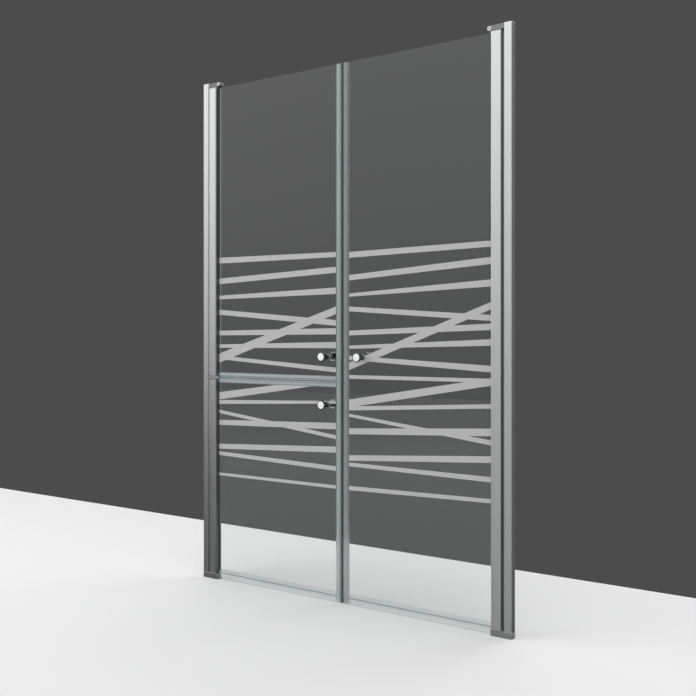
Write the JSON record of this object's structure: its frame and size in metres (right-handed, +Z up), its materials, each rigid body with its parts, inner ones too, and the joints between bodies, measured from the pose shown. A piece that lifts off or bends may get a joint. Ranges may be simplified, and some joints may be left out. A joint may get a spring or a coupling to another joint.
{
  "type": "pivot shower screen",
  "caption": "Pivoting glass shower screen for a niche, with aluminium wall and pivot profiles, clear magnetic and drip seals, turned knobs and a leaf split like a stable door.",
  "frame": {"origin": "on the tray, midway between the side walls, in the middle plane of the closed glass", "axes": "+X from the left wall to the right wall seen from the room, +Y into the shower, +Z up"},
  "size_m": [1.3, 0.082, 1.9],
  "materials": {
    "aluminium_bright": "bright anodised",
    "aluminium_mill": "plain mill finish",
    "plastic_silver": "silver grey moulding",
    "chrome_bracket": "dark polished casting",
    "chrome_fasteners": "polished",
    "chrome_knob": "polished",
    "steel": "turned stainless steel",
    "rubber_grey": "matt",
    "plastic_grey": "moulded, fine texture",
    "nylon_white": "machined nylon",
    "glass_clear": "clear, polished edges, frosted stripes",
    "seal_clear": "clear flexible PVC",
    "washer_clear": "clear soft plastic",
    "magnet_dark": "magnet-filled rubber"
  },
  "bodies": {
    "fixed_frame": {"wall_channel_left": "aluminium_mill", "wall_channel_right": "aluminium_mill", "frame_profile_left": "aluminium_bright", "frame_profile_right": "aluminium_bright", "frame_caps": "plastic_silver", "top_bracket_left": "chrome_bracket", "top_bracket_right": "chrome_bracket", "bottom_bracket_left": "chrome_bracket", "bottom_bracket_right": "chrome_bracket", "mid_bracket": "chrome_bracket", "mid_pivot_pin": "steel", "pivot_pins": "steel", "clamp_screws": "chrome_fasteners", "clamp_nuts": "chrome_fasteners", "frame_screws": "steel", "screw_caps": "plastic_silver", "side_seal_right": "rubber_grey", "side_seal_left_upper": "rubber_grey", "side_seal_left_lower": "rubber_grey"},
    "right_leaf": {"pivot_profile_right": "aluminium_bright", "end_plugs_right": "plastic_grey", "pivot_bushes_right": "nylon_white", "glass_right": "glass_clear", "glazing_gaskets_right": "rubber_grey", "magnetic_seal_right": "seal_clear", "magnet_strip_right": "magnet_dark", "knob_outer_right": "chrome_knob", "knob_inner_right": "chrome_knob", "knob_stud_right": "steel", "knob_washers_right": "washer_clear", "drip_seal_right": "seal_clear"},
    "upper_left_leaf": {"pivot_profile_upper_left": "aluminium_bright", "end_plugs_upper_left": "plastic_grey", "pivot_bushes_upper_left": "nylon_white", "glass_upper_left": "glass_clear", "glazing_gaskets_upper_left": "rubber_grey", "magnetic_seal_upper_left": "seal_clear", "magnet_strip_upper_left": "magnet_dark", "knob_outer_upper_left": "chrome_knob", "knob_inner_upper_left": "chrome_knob", "knob_stud_upper_left": "steel", "knob_washers_upper_left": "washer_clear", "split_seal_upper_left": "seal_clear"},
    "lower_left_leaf": {"pivot_profile_lower_left": "aluminium_bright", "end_plugs_lower_left": "plastic_grey", "pivot_bushes_lower_left": "nylon_white", "glass_lower_left": "glass_clear", "glazing_gaskets_lower_left": "rubber_grey", "magnetic_seal_lower_left": "seal_clear", "magnet_strip_lower_left": "magnet_dark", "knob_outer_lower_left": "chrome_knob", "knob_inner_lower_left": "chrome_knob", "knob_stud_lower_left": "steel", "knob_washers_lower_left": "washer_clear", "split_seal_lower_left": "seal_clear", "drip_seal_lower_left": "seal_clear"}
  },
  "joints": [
    {"name": "right_leaf_pivot", "type": "hinge", "parent": "fixed_frame", "child": "right_leaf", "pos_m": [0.5995, 0, 0.95], "axis": [0, 0, -1], "range_deg": [-90, 90]},
    {"name": "upper_left_leaf_pivot", "type": "hinge", "parent": "fixed_frame", "child": "upper_left_leaf", "pos_m": [-0.5995, 0, 0.95], "axis": [0, 0, 1], "range_deg": [-90, 90]},
    {"name": "lower_left_leaf_pivot", "type": "hinge", "parent": "fixed_frame", "child": "lower_left_leaf", "pos_m": [-0.5995, 0, 0.95], "axis": [0, 0, 1], "range_deg": [-90, 90]}
  ]
}
